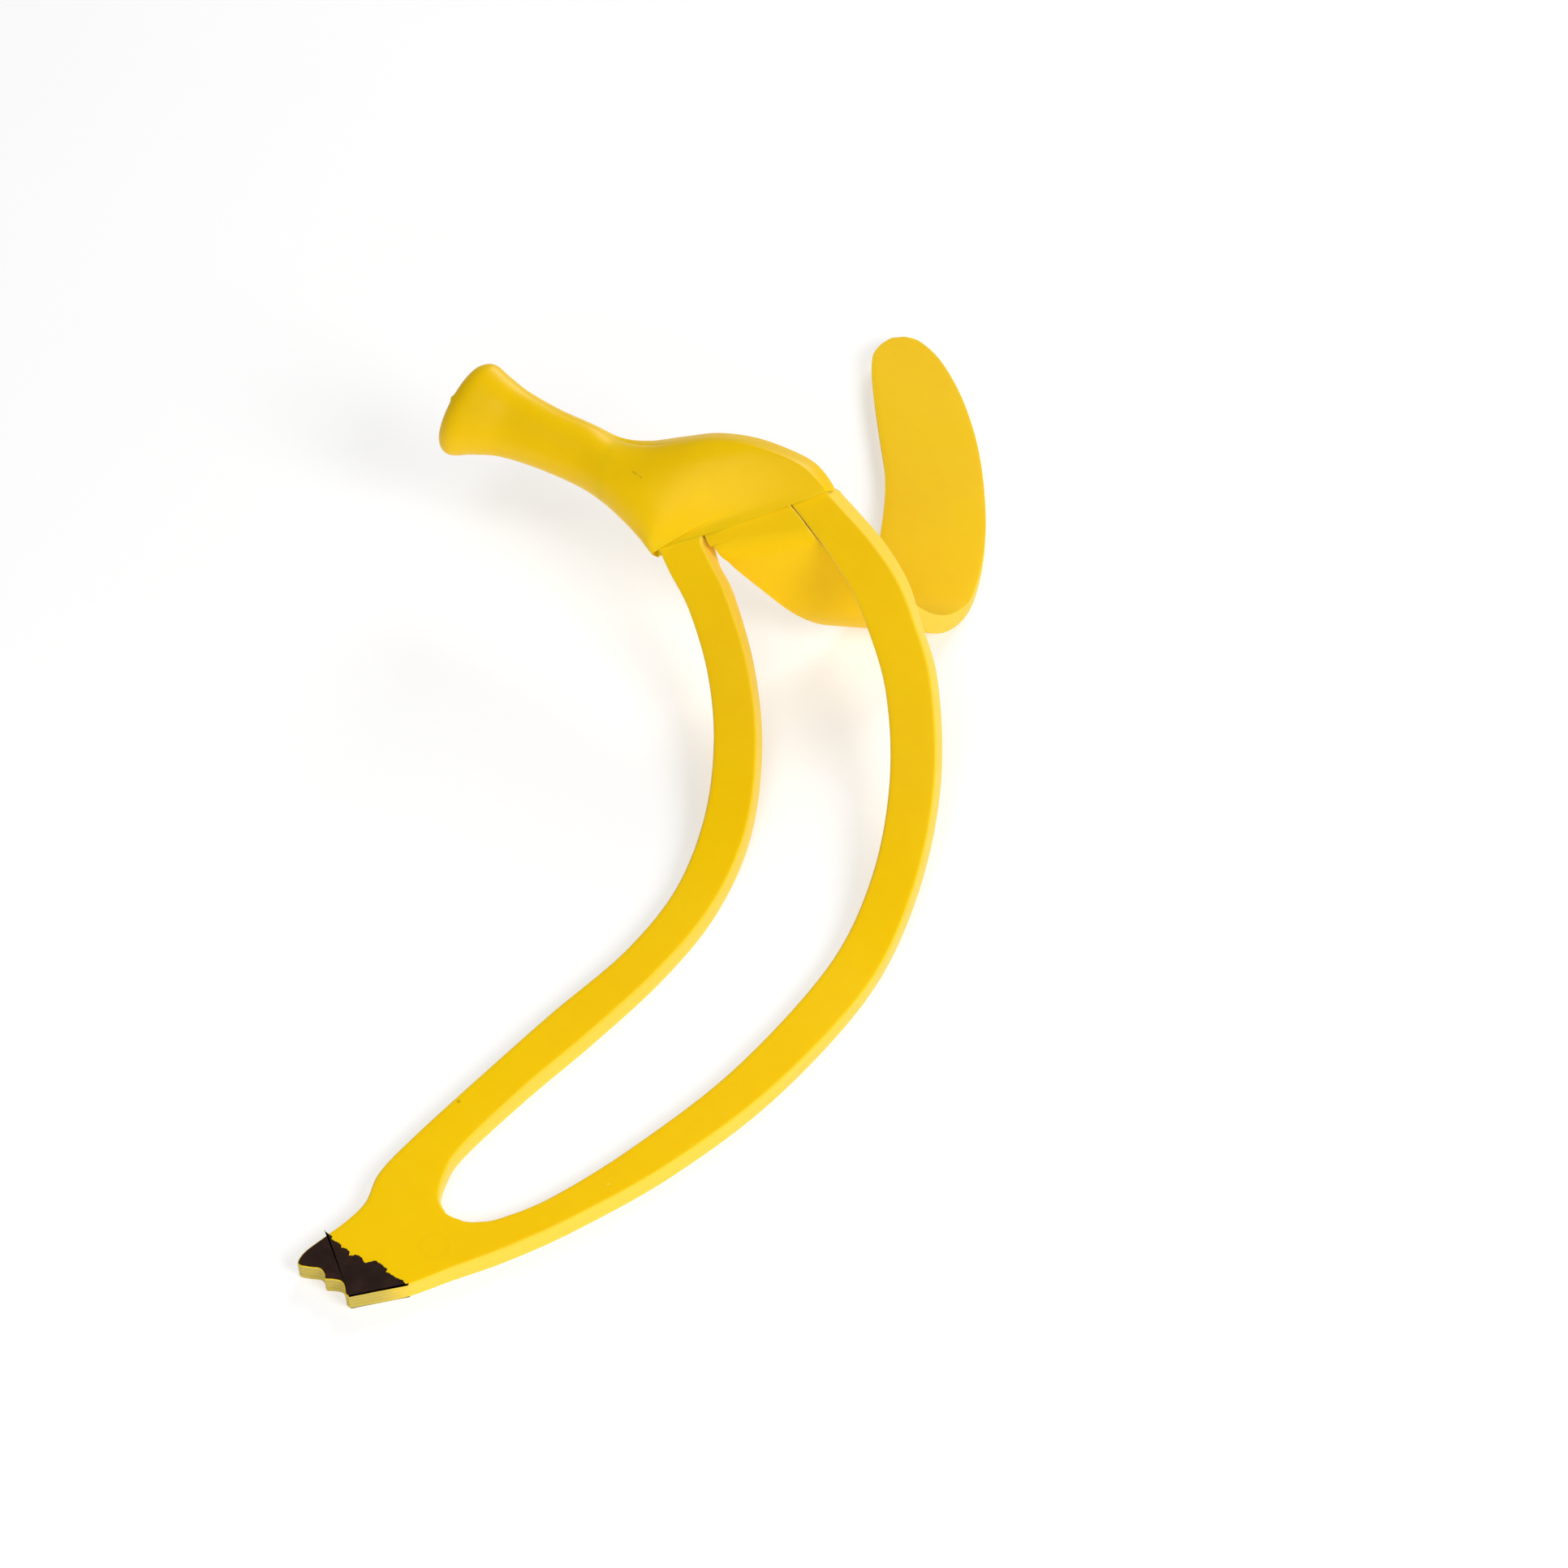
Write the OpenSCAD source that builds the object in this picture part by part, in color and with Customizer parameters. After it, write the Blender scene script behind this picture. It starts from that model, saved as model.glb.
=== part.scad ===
// Banana peel ornament: a soft moulded banana peel that stands on its two peels.
// A long loop-shaped peel lies flat at its tip and rises to a domed hood. A second, solid peel
// hangs from the hood, turns under itself and lies flat behind it. A short stem ends the hood.
//
// Frame: origin on the table under the solid web of the front peel's tip. +X runs from the tip
// towards the hood, +Y to the stem's side, +Z up. The table is the plane z = 0.

/* [Plate] */
// Thickness of both peels
plate_t = 3.6; // [3:0.1:4.5]
// Width of the small bevel on the peels' edges
edge_bevel = 0.4; // [0.2:0.1:0.6]
// Kerf between the rear peel and its neighbours at the hood
kerf = 0.7; // [0.5:0.05:0.8]

/* [Front peel] */
// Distance from the origin to the line where the front peel leaves the table
touch_x = 80; // [76:1:84]
// Bend radius of the rising part, on its upper face
rise_r = 90; // [80:1:100]
// Slope of the front peel where it meets the hood
rise_angle = 39.5; // [36:0.5:43]

/* [Rear peel] */
// Bend radius at the hood, on the outer face
shoulder_r = 5; // [4.5:0.5:6]
// Bend radius at the foot, on the outer face
foot_r = 14; // [12:0.5:14.5]
// Direction of the shoulder's bend line in the unrolled sheet
shoulder_angle = -60; // [-62:1:-56]

/* [Hood and stem] */
// Angle of the hood's rim in the unrolled sheet
rim_angle = -50.5; // [-53:0.5:-48]
// Half of the hood's rim length
rim_half = 18.2; // [18.1:0.1:18.4]
// Height of the hood's crown above the face of the peels
crown_h = 5.2; // [4:0.2:7]
// How far the hood's rim stands proud of the peels
rim_step = 0.8; // [0.5:0.1:1.2]
// Half thickness of the stem
stem_half_t = 4.6; // [4:0.1:5.5]

/* [Tip print] */
// Thickness of the printed layer
print_t = 0.15; // [0.1:0.05:0.3]

/* [Hidden] */

YELLOW = "#f6c800";
BROWN = "#2a1a14";

// Steps between two hand-placed points of a curve
peel_steps = 4;
hood_steps = 3;

// Tiny lift that keeps neighbouring points of a ring apart
hair = 0.01;

// Centre of the hood's rim in the unrolled sheet
rim_mid = [151.7, 26];
rim_dir = [cos(rim_angle), sin(rim_angle)];
// Direction along the sheet from the rim towards the peels
down_dir = [sin(rim_angle), -cos(rim_angle)];

// Where the strips and the rear peel meet the rim, measured along it from its centre
left_strip_root = [-16.8, -7.6];
right_strip_root = [10.3, 17.7];
rear_root = [left_strip_root[1] + 1.5 * kerf, right_strip_root[0] - kerf];

function rim_point(along) = rim_mid + along * rim_dir;

// Edges of the front peel in the unrolled sheet, in pairs of outer and inner point, from the
// left root round the tip to the right root
peel_edges = [
    [rim_point(left_strip_root[0]), rim_point(left_strip_root[1])],
    [[132.9, 28.5], [138.4, 23]],
    [[123.5, 19.8], [128, 13.2]],
    [[112, 12.3], [115, 4.6]],
    [[98, 6.4], [99, -2]],
    [[82, 3.1], [82, -4.6]],
    [[66, 3.7], [66, -3.8]],
    [[48, 7.7], [49, -0.7]],
    [[30, 11.2], [32, 3.2]],
    [[15, 13.9], [17, 5.6]],
    [[6, 14.9], [11, 5]],
    [[0, 13.6], [7.2, 3.5]],
    [[-5, 14.2], [5.6, 2]],
    [[-12, 16.4], [4.8, 0.8]],
    [[-15.6, 16.2], [4.6, 0.2]],
    [[-15, 12.8], [4.6, -0.3]],
    [[-16.2, 10.8], [4.6, -0.7]],
    [[-15.5, 8.2], [4.6, -1.1]],
    [[-16.7, 5.4], [4.7, -1.6]],
    [[-10.4, -1.6], [5, -3]],
    [[-4, -6], [6, -4.8]],
    [[4, -11.9], [8.6, -7.7]],
    [[15, -18.6], [16.5, -12.9]],
    [[32, -26.8], [32, -19.4]],
    [[54, -33.8], [54, -25.9]],
    [[80, -37.4], [80, -29]],
    [[102, -34.9], [100, -27]],
    [[122, -28.9], [118, -21.3]],
    [[138.5, -20.2], [133, -13.2]],
    [[147.4, -12.7], [142.6, -5]],
    [[153.2, -6.6], [148.2, 1.1]],
    [[157.8, 0.9], [152.6, 7.6]],
    [rim_point(right_strip_root[1]), rim_point(right_strip_root[0])],
];

// Sections of the stem and hood in the unrolled sheet, from the stem's end to the rim:
// edge on the inside of the curve, edge on the outside, crown height, edge top, edge bottom,
// belly and the inset of the crease on the outer edge
mid = -plate_t / 2;
stem_sections = [
    [[147.4, 90.1], [156.6, 89.4], mid + 2.6, mid, mid, mid - 2.6, 0],
    [[143.6, 89.6], [160.1, 87.9], mid + 4.3, mid, mid, mid - 4.3, 0],
    [[142.3, 87], [161.5, 85.1], mid + 5.4, mid, mid, mid - 5.4, 0],
    [[144, 82.6], [160.3, 81.2], mid + 5.2, mid, mid, mid - 5.2, 0],
    [[145.7, 77], [159.1, 76.4], mid + stem_half_t, mid, mid, mid - stem_half_t, 0],
    [[146.4, 69], [158.3, 69], mid + stem_half_t, mid, mid, mid - stem_half_t, 0],
    [[146.3, 60], [158, 61], mid + stem_half_t, mid, mid, mid - stem_half_t, 0],
    [[145.3, 53.6], [157.7, 55.2], 3.4, mid + 0.4, mid - 0.6, -5.8, 0.6],
];
hood_sections = [
    stem_sections[7],
    [[143.5, 48], [159.4, 49.6], 4.1, -0.6, -2.8, -5, 1.2],
    [[141.9, 43.8], [162.4, 43.8], crown_h - 0.3, 0.2, -3.2, -4.2, 1.8],
    [[140.8, 41.4], [165.4, 37.6], crown_h, 0.6, -3.5, -3.8, 2.2],
    [[140.4, 40.6], [167.3, 30.6], crown_h - 0.3, rim_step, -plate_t, -plate_t, 2.2],
    [[140.3, 40.2], [168, 23.6], crown_h - 1.3, rim_step, -plate_t, -plate_t, 2.1],
    [[140.4, 40], [167.3, 17.4], 2.4, rim_step, -plate_t, -plate_t, 1.9],
    [rim_point(-rim_half), rim_point(rim_half), rim_step + 0.2, rim_step, -plate_t, -plate_t, 1],
];

// Jagged border of the print, across the tip from the left edge to the right edge
print_border = [
    [-8.6, 15.2], [-9.6, 13.6], [-8.9, 12.2], [-9.8, 10.6], [-9.2, 9], [-8.9, 7.4],
    [-9.9, 6.2], [-9.3, 4.8], [-9.8, 3.2], [-10.6, 1.8], [-10.2, 0.4], [-11, -0.8],
];
// Bare margin between the print and the tip's edge
print_rim = 0.45;
// First and last pair of peel_edges round the tip
tip_rows = [11, 21];
// Lines inside the tip that close the print's two outlines, and a place well past the tip's end
print_close_x = 0;
print_close_y = [-6, 13];
past_tip = [-30, -10, 30];

// A point on the Catmull-Rom curve through four values at parameter u from 0 to 1
function spline_at(a, b, c, d, u) =
    0.5 * (2 * b + (c - a) * u + (2 * a - 5 * b + 4 * c - d) * u * u
        + (3 * b - a - 3 * c + d) * u * u * u);

// A smooth list of rows through the given rows of points and numbers
function smooth_pairs(rows, steps) =
    let (last = len(rows) - 1)
    [
        for (i = [0:last - 1]) for (j = [0:steps - 1])
            let (a = rows[max(i - 1, 0)], b = rows[i], c = rows[i + 1], d = rows[min(i + 2, last)])
            [for (k = [0:len(b) - 1]) spline_at(a[k], b[k], c[k], d[k], j / steps)],
        rows[last],
    ];

// Rolls a sheet: d is the distance past the start of the bend, n the height on the face, r the
// radius on the face and turn the whole angle. A positive radius bends away from the face
function roll(d, n, r, turn) =
    let (arc = abs(r) * turn * PI / 180, th = turn * sign(r) * min(max(d, 0), arc) / arc,
         rest = max(d - arc, 0))
    d <= 0 ? [d, n] : [(r + n) * sin(th) + rest * cos(th), (r + n) * cos(th) - r - rest * sin(th)];

// A point of the front sheet, given along x and y and its height n above the face
function front_point(x, y, n) =
    let (q = roll(x - touch_x, n, -rise_r, rise_angle)) [touch_x + q[0], y, plate_t + q[1]];

// Directions of the front sheet's plane at the hood
sheet_x = [cos(rise_angle), 0, sin(rise_angle)];
sheet_n = [-sin(rise_angle), 0, cos(rise_angle)];
function on_sheet(v) = v[0] * sheet_x + [0, v[1], 0];

// The rear peel's flexing line runs along the rim, half a thickness below the face
hinge_gap = plate_t / 2 + kerf;
hinge_mid = rim_mid + hinge_gap * down_dir;

// The shoulder's bend starts close past the flexing line
bend_lead = 0.1;
bend_dir = [cos(shoulder_angle), sin(shoulder_angle)];
bend_down = [sin(shoulder_angle), -cos(shoulder_angle)];
bend_mid = hinge_mid + bend_lead * down_dir;
bend_point = front_point(bend_mid[0], bend_mid[1], 0);
axis_dir = on_sheet(bend_dir);
root_down = on_sheet(bend_down);

// The turn at the shoulder that makes the next stretch of the rear peel vertical
shoulder_turn = atan2(sheet_n[2], -root_down[2]);
shoulder_arc = shoulder_r * shoulder_turn * PI / 180;
wall_n = sheet_n * cos(shoulder_turn) + root_down * sin(shoulder_turn);

// A point of the rear sheet before the foot's bend: a along the bend line, b down the peel
function wall_point(a, b, n) =
    let (q = roll(b, n, shoulder_r, shoulder_turn))
    bend_point + a * axis_dir + q[0] * root_down + q[1] * sheet_n;

// A point of the rear sheet, with the foot rolled under where the wall comes near the table
function rear_point(a, b, n) =
    let (flat = wall_point(a, max(b, shoulder_arc), 0), past = foot_r - flat[2])
    b <= shoulder_arc || past <= 0 ? wall_point(a, b, n)
        : let (q = roll(past, n, foot_r, 90)) [flat[0], flat[1], foot_r - q[0]] + q[1] * wall_n;

// A point given along the rim and past it, in the rear sheet's own directions
function bend_coords(along, past) =
    let (rel = rim_point(along) + past * down_dir - bend_mid) [rel * bend_dir, rel * bend_down];

// Edges of the rear peel in its unrolled sheet, in pairs of outer and inner point, from the
// flexing line to the rounded tip
rear_edges = [
    [bend_coords(rear_root[1], hinge_gap), bend_coords(rear_root[0], hinge_gap)],
    [[10.8, 0.4], [-5.7, 1]],
    [[11.8, 2.4], [-4.9, 3]],
    [[12.7, 4.8], [-4, 5]],
    [[13.9, 7], [-3.3, 7.2]],
    [[18.2, 11.6], [-1.2, 12]],
    [[22.8, 20.6], [2.8, 20.6]],
    [[25.6, 31], [6.6, 30.6]],
    [[27.2, 41.2], [8.2, 40.2]],
    [[28.1, 51.2], [7.5, 50.2]],
    [[25.6, 62.8], [4.8, 60.7]],
    [[20.9, 74.7], [0.2, 72.8]],
    [[13.8, 88.2], [-6.6, 85.2]],
    [[5.7, 99.7], [-12.2, 95.6]],
    [[-2.3, 108], [-15.6, 103.2]],
    [[-8.4, 111.8], [-16, 107.2]],
    [[-11.9, 112.3], [-14.9, 110.3]],
    [[-13, 112], [-14.2, 111.2]],
];

// The rounded root of the rear peel: angles of its rings from the end to the full thickness
root_round = [80, 55, 30];

// Ring of eight points across a peel, from one edge to the other
function plate_ring(outer, inner, thick) =
    let (wide = norm(outer - inner), side = (outer - inner) / wide,
         top = -(plate_t - thick) / 2, low = top - thick,
         e = min(edge_bevel, thick / 4, wide / 4))
    [
        for (c = [[e, top], [wide - e, top], [wide, top - e], [wide, low + e],
                  [wide - e, low], [e, low], [0, low + e], [0, top - e]])
            [inner[0] + c[0] * side[0], inner[1] + c[0] * side[1], c[1]],
    ];

// Ring across the stem or hood, from the inner edge over the crown to the crease, down the
// outer edge and back along the belly
crown_points = 12;
belly_points = 8;
function crown_ring(sec) =
    let (lower = sec[0], upper = sec[1], wide = norm(upper - lower), side = (upper - lower) / wide,
         crown = sec[2], top = sec[3], low = sec[4], belly = sec[5], inset = sec[6],
         reach = wide - inset)
    [
        for (j = [0:crown_points])
            let (f = (1 - cos(180 * j / crown_points)) / 2, arch = sqrt(max(0, 4 * f * (1 - f))))
            concat(lower + f * reach * side, top + (crown - top) * arch),
        concat(upper, (top + 2 * low) / 3 - hair),
        for (j = [0:belly_points])
            let (f = (1 + cos(180 * j / belly_points)) / 2, arch = sqrt(max(0, 4 * f * (1 - f))))
            concat(lower + f * (wide - inset / 4) * side, low - 2 * hair + (belly - low) * arch),
    ];

// A closed solid through a list of rings with the same number of points
module skin(rings) {
    n = len(rings[0]);
    last = len(rings) - 1;
    points = [for (r = rings) for (p = r) p];
    sides = [
        for (i = [0:last - 1]) for (j = [0:n - 1])
            let (k = (j + 1) % n, a = i * n + j, b = i * n + k, c = a + n, d = b + n)
            each [[a, b, c], [b, d, c]],
    ];
    first_cap = [for (j = [n - 1:-1:0]) j];
    last_cap = [for (j = [0:n - 1]) last * n + j];
    polyhedron(points, concat([first_cap], sides, [last_cap]));
}

front_rings = [
    for (row = smooth_pairs(peel_edges, peel_steps))
        [for (p = plate_ring(row[1], row[0], plate_t)) front_point(p[0], p[1], p[2])],
];
rear_pairs = smooth_pairs(rear_edges, peel_steps);
rear_rings = [
    for (ang = root_round)
        let (past = hinge_gap - sin(ang) * plate_t / 2, pair = [bend_coords(rear_root[1], past),
             bend_coords(rear_root[0], past)])
        [for (p = plate_ring(pair[0], pair[1], plate_t * cos(ang))) rear_point(p[0], p[1], p[2])],
    for (row = rear_pairs)
        [for (p = plate_ring(row[0], row[1], plate_t)) rear_point(p[0], p[1], p[2])],
];
function crown_rings(sections) = [
    for (sec = smooth_pairs(sections, hood_steps))
        [for (p = crown_ring(sec)) front_point(p[0], p[1], p[2])],
];

module stem() {
    color(YELLOW) skin(crown_rings(stem_sections));
}

module hood() {
    color(YELLOW) skin(crown_rings(hood_sections));
}

module front_peel() {
    color(YELLOW) difference() {
        skin(front_rings);
        print_layer(print_t, 0);
    }
}

module rear_peel() {
    color(YELLOW) skin(rear_rings);
}

// Outline of the print: the jagged border, then the torn end of the tip just inside its edge
module print_outline() {
    tip_pairs = [for (i = [tip_rows[0]:tip_rows[1]]) peel_edges[i]];
    tip = [for (row = smooth_pairs(tip_pairs, peel_steps)) row[0]];
    close = [for (y = print_close_y) [print_close_x, y]];
    intersection() {
        polygon(concat(print_border, [[past_tip[0], past_tip[1]], [past_tip[0], past_tip[2]]]));
        offset(delta = -print_rim) polygon(concat(tip, close));
    }
}

module print_layer(height, z) {
    translate([0, 0, z]) linear_extrude(height) print_outline();
}

module tip_print_top() {
    color(BROWN) print_layer(print_t, plate_t);
}

module tip_print_underside() {
    color(BROWN) print_layer(print_t, 0);
}

stem();
hood();
front_peel();
rear_peel();
tip_print_top();
tip_print_underside();
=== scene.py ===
import math

import bmesh
import bpy
import numpy as np
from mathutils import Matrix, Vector


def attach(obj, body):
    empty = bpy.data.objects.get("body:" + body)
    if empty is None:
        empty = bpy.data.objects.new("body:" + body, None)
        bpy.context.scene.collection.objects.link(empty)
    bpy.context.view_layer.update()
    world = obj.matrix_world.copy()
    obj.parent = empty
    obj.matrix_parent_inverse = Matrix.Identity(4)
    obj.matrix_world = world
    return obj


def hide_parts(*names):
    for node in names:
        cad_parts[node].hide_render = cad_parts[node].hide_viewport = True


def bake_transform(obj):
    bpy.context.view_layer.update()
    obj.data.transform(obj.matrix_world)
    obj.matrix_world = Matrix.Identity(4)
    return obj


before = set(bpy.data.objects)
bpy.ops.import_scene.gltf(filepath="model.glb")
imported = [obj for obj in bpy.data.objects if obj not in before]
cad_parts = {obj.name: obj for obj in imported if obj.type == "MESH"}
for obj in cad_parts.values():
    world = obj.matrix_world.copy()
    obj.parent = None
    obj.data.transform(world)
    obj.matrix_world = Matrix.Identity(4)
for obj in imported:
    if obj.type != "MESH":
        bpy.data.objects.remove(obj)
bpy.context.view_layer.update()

MM = 0.001

# ---------------------------------------------------------------- sizes, in millimetres
PLATE_T = 3.6          # thickness of both peels
TOUCH_X = 80.0         # where the unrolled front sheet starts to rise from the table
RISE_R = 90.0          # radius of that rise
RISE_TURN = math.radians(39.5)
SHOULDER_R = 5.0       # bend of the rear peel at the hood's rim
FOOT_R = 14.0          # bend of the rear peel where it curls under
RIM_ANGLE = math.radians(-50.5)
FOLD_ANGLE = math.radians(-60.0)
RIM_ENDS = (-18.1, 18.5)  # the rim's corners, along it from RIM_MID
HINGE_GAP = 2.5        # from the rim to the joint's line
BEND_LEAD = 0.1        # from the joint's line to the start of the shoulder

EDGE_R = 0.55          # rounding of the moulded edges
TORN_R = 0.22          # rounding of the torn tip's edges
ROOT_R = 0.3           # rounding of the rear peel's edges beside the rim
LOW_R = 0.12           # rounding of the edges at the underside
DRAFT = 0.3            # how far a moulded wall leans out down to the underside
GROOVE = 0.07          # depth of the fine parting lines on the torn tip's wall

PRINT_H = 0.05         # height of the printed layer over the face
PRINT_RIM = 0.20       # bare margin between the print and the tip's edge
PRINT_JAG = 0.07       # small waver of the print's border
JAG_BEATS = (1.9, 0.73)   # its two rhythms, in radians for each point
BORDER_STEPS = 5       # points between two given points of the border
TIP_T = PLATE_T - PRINT_H  # so that the print below is flush with the table side

NUB_AT = (143.87, 88.97, 32.48)  # tiny sprue nub on the stem's end
NUB_DIR = (-0.35, 0.75, 0.55)
NUB_HEIGHT, NUB_WIDTH = 0.32, 0.5
SCRATCH = ((142.95, 47.99, 33.96), (142.46, 45.75, 33.92))  # ends of the one by the neck
SCRATCH_SPOTS = ((0.0, 0.16), (0.2, 0.2), (0.38, 0.14), (0.66, 0.12), (0.9, 0.18))
MARK_AT, MARK_R, MARK_LINE = (-1.7, -1.3, PLATE_T), 2.6, 0.5  # faint ring near the tip
SPECK_AT, SPECK_R = (24.5, 11.2, PLATE_T), 0.35
CUT_ENDS = (-14.5, -9.5)  # along X: all of the wall is cut, none of it is cut
CUT_PITCH = 0.9        # between two parting lines on the cut wall

ROW_STEPS = 12         # rings between two rows of the peels
CROWN_STEPS = 12       # rings between two rows of the hood and stem
FACE_CUTS = 14         # quads across the face of a peel
CORNER_CUTS = 5        # quads round a rounded edge
CROWN_POINTS = 56      # quads over the crown of the hood and stem
BAND_POINTS = 6        # quads down their outer edge band
BELLY_POINTS = 24      # quads back along their underside

RIM_MID = np.array([151.7, 26.0])
RIM_DIR = np.array([math.cos(RIM_ANGLE), math.sin(RIM_ANGLE)])
DOWN_DIR = np.array([math.sin(RIM_ANGLE), -math.cos(RIM_ANGLE)])


def rim_point(along, past=0.0):
    """A point of the unrolled front sheet, given along the hood's rim and past it."""
    return tuple(RIM_MID + along * RIM_DIR + past * DOWN_DIR)


# ---------------------------------------------------------------- rows of the outlines
def row(x_out, y_out, x_in, y_in, radius=EDGE_R, groove=0, thick=PLATE_T, sink=0, leans=(0, 0)):
    """A row of a peel: the outer and inner edge in its sheet, the edge's radius, how much of
    the groove it has, its thickness, how far its face is sunk, and the extra leans of its
    outer and inner wall."""
    return (x_out, y_out, x_in, y_in, radius, groove, thick, sink, *leans)


def torn_row(x_out, y_out, x_in, y_in, radius=TORN_R, groove=1):
    """A row across the torn tip, which is printed on both sides."""
    return row(x_out, y_out, x_in, y_in, radius, groove, TIP_T)


def root_row(outer, inner, past, leans, thick=PLATE_T, sink=0):
    """A row of the front peel beside the rim; outer and inner are (along, slope)."""
    return row(*rim_point(outer[0] + outer[1] * past, past),
               *rim_point(inner[0] + inner[1] * past, past), EDGE_R, 0, thick, sink, leans)


# The strips' edges at the rim, as (along, slope), and how they go into the hood
LEFT_OUTER, LEFT_INNER = (-16.75, 0.22), (-8.5, 0.22)
LEFT_IN_HOOD, LEFT_AT_RIM = (-7.8, 0), (-7.9, 0)
RIGHT_OUTER, RIGHT_INNER = (17.7, 0.5), (10.3, 0.42)
RIGHT_LEAN = (1.2, 0)
TUCK = dict(thick=2.6, sink=0.7)  # an end that is hidden inside the hood
LEFT_ROWS = [
    root_row(LEFT_OUTER, LEFT_IN_HOOD, -2.0, (0, 0.4), **TUCK),
    root_row(LEFT_OUTER, LEFT_IN_HOOD, -0.4, (0, 0.4)),
    root_row(LEFT_OUTER, LEFT_AT_RIM, 0.5, (0, 0.5)),
    root_row(LEFT_OUTER, LEFT_INNER, 1.8, (0, 0.8)),
    row(137.8, 34.9, 142.6, 28, leans=(0, 0.15)),
    row(132.9, 28.5, 138.4, 22.9, leans=(0, 0.2)),
    row(123.5, 19.8, 128, 13.2),
    row(112, 12.3, 115, 4.6),
    row(98, 6.4, 99, -2),
    row(82, 3.1, 82, -4.6),
    row(66, 3.7, 66, -3.8),
    row(48, 7.7, 49, -0.7),
    row(30, 11.2, 32, 3.2),
    row(15, 13.9, 17, 5.6, leans=(0, -0.3)),
    row(6, 14.9, 11, 5, leans=(0, -0.4)),
    row(0, 13.6, 7.1, 3.5, leans=(0, -0.4)),
]
TIP_ROWS = [
    row(-4.5, 14.1, 5.6, 2, 0.5),
    torn_row(-9, 15.4, 5.1, 1.2, 0.4, 0.2),
    torn_row(-13, 16.6, 4.8, 0.8, 0.3, 0.6),
    torn_row(-15.2, 16.6, 4.65, 0.4),
    torn_row(-15.95, 15.9, 4.6, 0.2),
    torn_row(-15.5, 14.3, 4.6, 0.05),
    torn_row(-14.85, 12.6, 4.6, -0.2),
    torn_row(-15.3, 11.4, 4.6, -0.4),
    torn_row(-16.0, 10.7, 4.6, -0.6),
    torn_row(-15.5, 9.6, 4.6, -0.8),
    torn_row(-15.1, 8.2, 4.6, -1),
    torn_row(-15.6, 7.2, 4.65, -1.2),
    torn_row(-16.6, 6.3, 4.7, -1.5),
    torn_row(-16.78, 5.6, 4.75, -1.8),
    torn_row(-16.2, 4.7, 4.85, -2.3, 0.3, 0.9),
    torn_row(-10.4, -1.4, 5.0, -3, 0.4, 0.7),
    row(-4, -6, 6, -4.8, 0.5, 0.2),
]
RIGHT_ROWS = [
    row(4, -11.9, 8.6, -7.7),
    row(15, -18.6, 16.5, -12.9),
    row(32, -26.8, 32, -19.4),
    row(54, -33.8, 54, -25.9, leans=(-0.1, 0)),
    row(80, -37.3, 80, -29, leans=(-0.3, 0)),
    row(102, -34.9, 100, -27, leans=(-0.1, 0)),
    row(122, -28.9, 118, -21.3),
    row(138.5, -20.2, 133, -13.2),
    row(147.4, -12.7, 142.6, -5),
    row(153.2, -6.6, 148.2, 1.1, leans=(0.6, 0)),
    row(157.8, 0.9, 152.6, 7.6, leans=(1.05, 0)),
    root_row(RIGHT_OUTER, RIGHT_INNER, 5, RIGHT_LEAN),
    root_row(RIGHT_OUTER, RIGHT_INNER, 0.6, RIGHT_LEAN),
    root_row(RIGHT_OUTER, RIGHT_INNER, -0.6, RIGHT_LEAN),
    root_row(RIGHT_OUTER, RIGHT_INNER, -2.0, (0, 0), **TUCK),
]
FRONT_ROWS = LEFT_ROWS + TIP_ROWS + RIGHT_ROWS
TORN_FIRST, TORN_LAST = len(LEFT_ROWS) - 1, len(LEFT_ROWS) + len(TIP_ROWS)

# Stem and hood: inner edge, outer edge, rise of the crown, top of the inner and of the outer
# edge, edge bottom, belly, crease inset
MID = -PLATE_T / 2


def stem_row(x_in, y_in, x_out, y_out, half):
    """A round section, half as high as it rises, about the plate's middle."""
    return (x_in, y_in, x_out, y_out, half, MID, MID, MID, MID - half, 0)


STEM_ROWS = [
    stem_row(149.9, 89.9, 153.8, 89.4, 1.2),
    stem_row(146.8, 90, 156.9, 88.9, 2.9),
    stem_row(143.55, 89.5, 160.1, 87.8, 4.5),
    stem_row(142.25, 87.05, 161.5, 85.2, 5.4),
    stem_row(144.0, 82.6, 160.4, 81.2, 5.2),
    stem_row(145.65, 77, 159.2, 76.4, 4.6),
    stem_row(146.35, 69, 158.35, 69, 4.6),
    stem_row(146.25, 60, 158.1, 61, 4.6),
    (145.25, 53.6, 157.85, 55.2, 4.8, MID + 0.4, MID + 0.4, MID - 0.6, -5.8, 0.6),
]
NECK = len(STEM_ROWS) - 1
HOOD_ROWS = [
    (143.5, 48, 159.4, 49.6, 4.5, -0.8, -0.3, -2.8, -5, 1.2),
    (141.8, 43.8, 162.4, 43.8, 4.2, -0.6, 0.8, -3.2, -4.2, 1.8),
    (140.6, 41.4, 165.5, 37.6, 3.7, -0.5, 1.3, -3.5, -3.8, 2.2),
    (140.2, 40.6, 167.3, 30.6, 2.8, -0.4, 1.45, -3.6, -3.6, 2.2),
    (140.0, 40.1, 167.7, 23.6, 1.6, -0.3, 1.45, -3.6, -3.6, 2.1),
    (139.9, 39.9, 167.1, 17.4, 0.6, -0.2, 1.35, -3.6, -3.6, 1.9),
    (*rim_point(RIM_ENDS[0], -1.6), *rim_point(RIM_ENDS[1], -1.6),
     0.06, -0.02, 1.1, -3.4, -3.4, 1.4),
    (*rim_point(RIM_ENDS[0]), *rim_point(RIM_ENDS[1]), 0, 0.02, 0.95, -2.6, -2.6, 1.0),
]
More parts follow.
